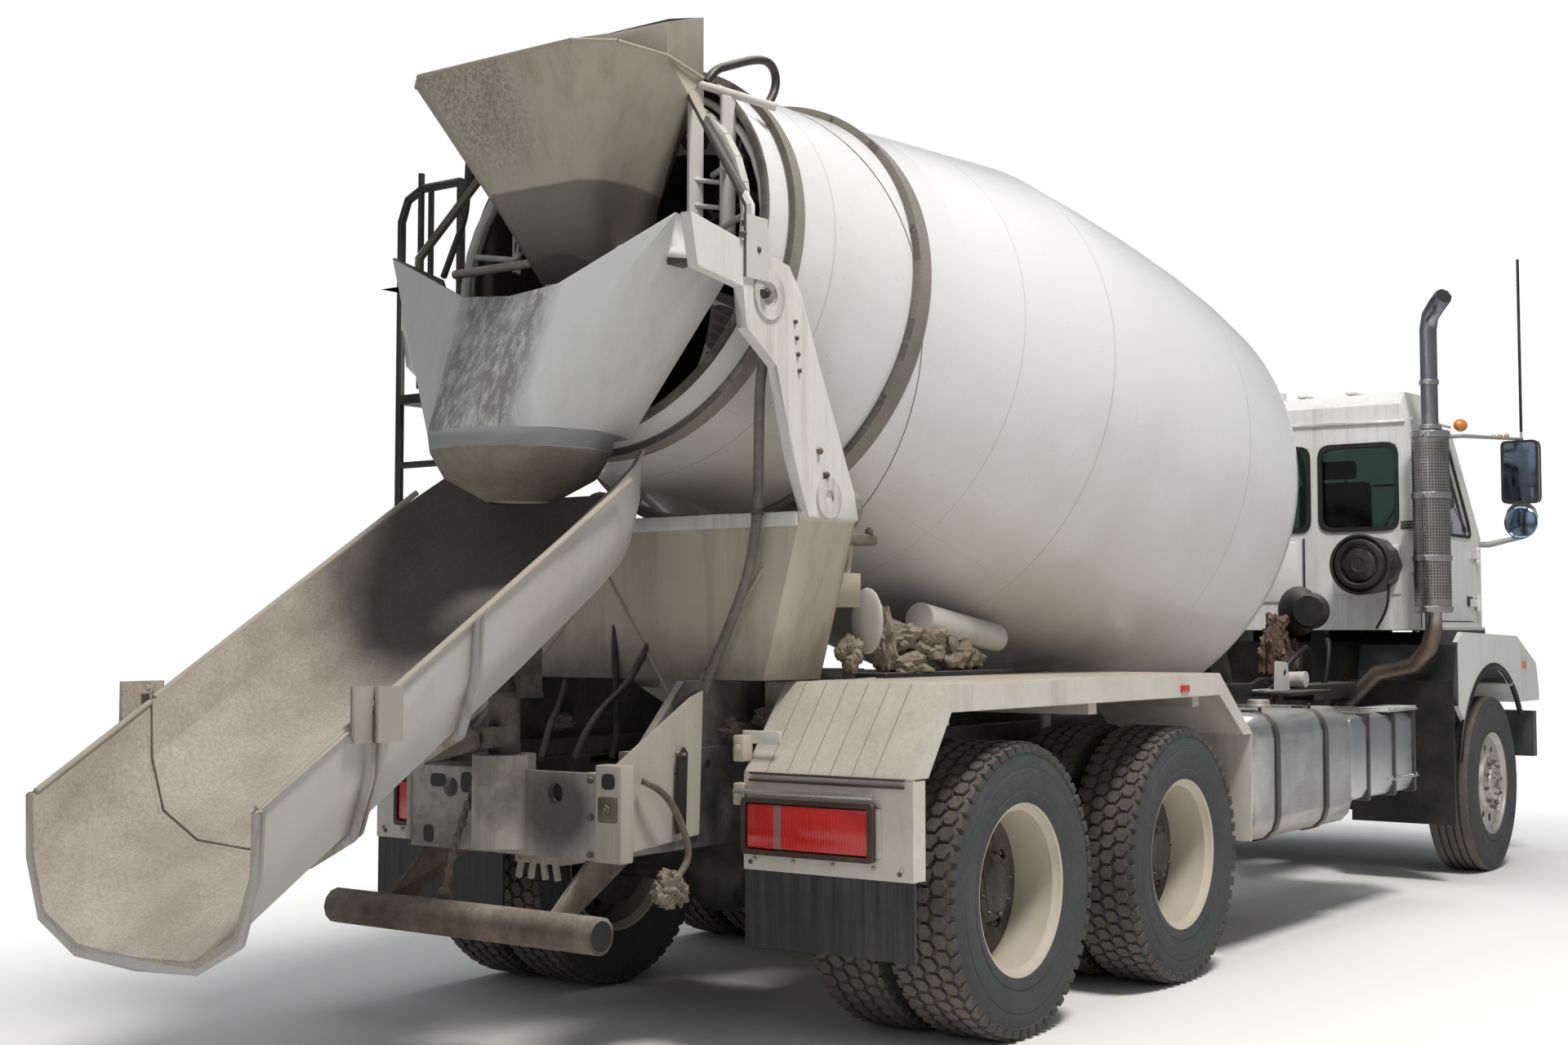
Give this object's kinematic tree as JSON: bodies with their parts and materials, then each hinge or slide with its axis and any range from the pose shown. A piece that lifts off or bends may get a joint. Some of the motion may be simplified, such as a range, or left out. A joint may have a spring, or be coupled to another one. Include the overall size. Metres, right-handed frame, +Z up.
{
  "type": "concrete mixer truck",
  "caption": "White concrete mixer truck with a tilted rotating drum, charging and discharge hoppers, a folding discharge chute, tandem rear axles and a conventional cab.",
  "frame": {"origin": "on the ground under the middle of the truck's length and width", "axes": "+X forward, +Y to the truck's left, +Z up"},
  "size_m": [9.8516, 2.76, 3.8],
  "materials": {
    "white_paint": "satin white paint with grey dirt streaks",
    "drum_paint": "glossy white paint, dusty below",
    "chute_paint": "worn white paint under a dried concrete film",
    "black_paint": "satin black chassis paint under grey dust",
    "black_plastic": "black plastic, dusty",
    "rubber": "black rubber, dusty",
    "tyre": "dusty black tyre rubber",
    "aluminium": "brushed, slightly dulled",
    "steel": "bare steel, brushed",
    "worn_steel": "dark worn steel under dust",
    "cloth": "dark woven seat cloth",
    "hose_rubber": "grey rubber hose",
    "glass": "green-tinted window glass",
    "chrome": "bright chrome",
    "mirror_glass": "mirror glass",
    "lens_red": "clear red lamp lens",
    "lens_amber": "clear amber lamp lens"
  },
  "bodies": {
    "chassis": {"frame": "black_paint", "front_axle": "black_paint", "rear_axle_1": "black_paint", "rear_axle_2": "black_paint", "engine": "worn_steel", "radiator": "black_paint", "fuel_tank_left": "aluminium", "fuel_tank_right": "aluminium", "battery_box": "aluminium", "rear_fender_left": "white_paint", "rear_fender_right": "white_paint", "mud_flap_left": "rubber", "mud_flap_right": "rubber", "splash_guard_left": "black_plastic", "splash_guard_right": "black_plastic", "underrun_bar": "worn_steel", "rear_pedestal": "white_paint", "front_pedestal": "white_paint", "drum_gearbox": "worn_steel", "charge_hopper": "white_paint", "discharge_hopper": "white_paint", "ladder": "black_paint", "water_hose": "hose_rubber", "cab_shell": "white_paint", "dashboard": "black_plastic", "seat_left": "cloth", "seat_right": "cloth", "air_cleaner": "black_plastic", "exhaust_stack": "steel", "mirror_left": "black_plastic", "mirror_right": "black_plastic", "bumper": "black_paint"},
    "left_door": {"door_left": "white_paint"},
    "right_door": {"door_right": "white_paint"},
    "tilt_hood": {"hood": "white_paint"},
    "steer_left": {"knuckle_left": "black_paint"},
    "steer_right": {"knuckle_right": "black_paint"},
    "front_wheel_left": {"wheel_front_left": "tyre"},
    "front_wheel_right": {"wheel_front_right": "tyre"},
    "rear1_wheels_left": {"twin_wheel_rear1_left": "tyre"},
    "rear1_wheels_right": {"twin_wheel_rear1_right": "tyre"},
    "rear2_wheels_left": {"twin_wheel_rear2_left": "tyre"},
    "rear2_wheels_right": {"twin_wheel_rear2_right": "tyre"},
    "mixer_drum": {"drum": "drum_paint"},
    "roller_left": {"ring_roller_left": "steel"},
    "roller_right": {"ring_roller_right": "steel"},
    "chute_turret": {"chute_swivel": "worn_steel"},
    "chute_trough": {"chute_main": "chute_paint"},
    "chute_tail": {"chute_end": "chute_paint"},
    "cylinder_barrel": {"lift_barrel": "worn_steel"},
    "cylinder_rod": {"lift_rod": "steel"}
  },
  "joints": [
    {"name": "left_door_hinge", "type": "hinge", "parent": "chassis", "child": "left_door", "pos_m": [4.11, 1.048, 1.62], "axis": [0, 0, -1], "range_deg": [0, 70]},
    {"name": "right_door_hinge", "type": "hinge", "parent": "chassis", "child": "right_door", "pos_m": [4.11, -1.048, 1.62], "axis": [0, 0, 1], "range_deg": [0, 70]},
    {"name": "hood_tilt", "type": "hinge", "parent": "chassis", "child": "tilt_hood", "pos_m": [4.875, 0, 0.965], "axis": [0, 1, 0], "range_deg": [0, 60]},
    {"name": "steering_left", "type": "hinge", "parent": "chassis", "child": "steer_left", "pos_m": [3.855, 0.86, 0.525], "axis": [0, 0, 1], "range_deg": [-35, 35]},
    {"name": "steering_right", "type": "hinge", "parent": "chassis", "child": "steer_right", "pos_m": [3.855, -0.86, 0.525], "axis": [0, 0, 1], "range_deg": [-35, 35]},
    {"name": "front_wheel_left_spin", "type": "hinge", "parent": "steer_left", "child": "front_wheel_left", "pos_m": [3.855, 1.06, 0.525], "axis": [0, 1, 0], "continuous": true},
    {"name": "front_wheel_right_spin", "type": "hinge", "parent": "steer_right", "child": "front_wheel_right", "pos_m": [3.855, -1.06, 0.525], "axis": [0, 1, 0], "continuous": true},
    {"name": "rear1_left_spin", "type": "hinge", "parent": "chassis", "child": "rear1_wheels_left", "pos_m": [-2.125, 1.1, 0.525], "axis": [0, 1, 0], "continuous": true},
    {"name": "rear1_right_spin", "type": "hinge", "parent": "chassis", "child": "rear1_wheels_right", "pos_m": [-2.125, -1.1, 0.525], "axis": [0, 1, 0], "continuous": true},
    {"name": "rear2_left_spin", "type": "hinge", "parent": "chassis", "child": "rear2_wheels_left", "pos_m": [-0.751, 1.1, 0.525], "axis": [0, 1, 0], "continuous": true},
    {"name": "rear2_right_spin", "type": "hinge", "parent": "chassis", "child": "rear2_wheels_right", "pos_m": [-0.751, -1.1, 0.525], "axis": [0, 1, 0], "continuous": true},
    {"name": "drum_spin", "type": "hinge", "parent": "chassis", "child": "mixer_drum", "pos_m": [-0.125, 0, 2.294], "axis": [-0.9833, 0, 0.1822], "continuous": true},
    {"name": "roller_left_spin", "type": "hinge", "parent": "chassis", "child": "roller_left", "pos_m": [-2.33866, 0.55671, 1.89567], "axis": [-0.9833, 0, 0.1822], "continuous": true},
    {"name": "roller_right_spin", "type": "hinge", "parent": "chassis", "child": "roller_right", "pos_m": [-2.33866, -0.55671, 1.89567], "axis": [-0.9833, 0, 0.1822], "continuous": true},
    {"name": "chute_swing", "type": "hinge", "parent": "chassis", "child": "chute_turret", "pos_m": [-3.485, 0, 0.98], "axis": [0, 0, 1], "range_deg": [-85, 85]},
    {"name": "chute_lift", "type": "hinge", "parent": "chute_turret", "child": "chute_trough", "pos_m": [-3.485, 0, 1.38], "axis": [0, 1, 0], "range_deg": [-3, 15]},
    {"name": "chute_fold", "type": "hinge", "parent": "chute_trough", "child": "chute_tail", "pos_m": [-4.525, 0, 1.26733], "axis": [0, 1, 0], "range_deg": [0, 175]},
    {"name": "barrel_tilt", "type": "hinge", "parent": "chute_turret", "child": "cylinder_barrel", "pos_m": [-3.585, 0, 1.09], "axis": [0, 1, 0], "range_deg": [-3.6, 18]},
    {"name": "rod_slide", "type": "slide", "parent": "cylinder_barrel", "child": "cylinder_rod", "axis": [-0.9899, 0, -0.1414], "range_m": [-0.0157, 0.0764]}
  ],
  "couplings": [
    {"joint": "steering_right", "follows": "steering_left", "ratio": 1},
    {"joint": "roller_left_spin", "follows": "drum_spin", "ratio": -8.7},
    {"joint": "roller_right_spin", "follows": "drum_spin", "ratio": -8.7},
    {"joint": "barrel_tilt", "follows": "chute_lift", "ratio": 1.2},
    {"joint": "rod_slide", "follows": "chute_lift", "m_per_rad": 0.29}
  ]
}
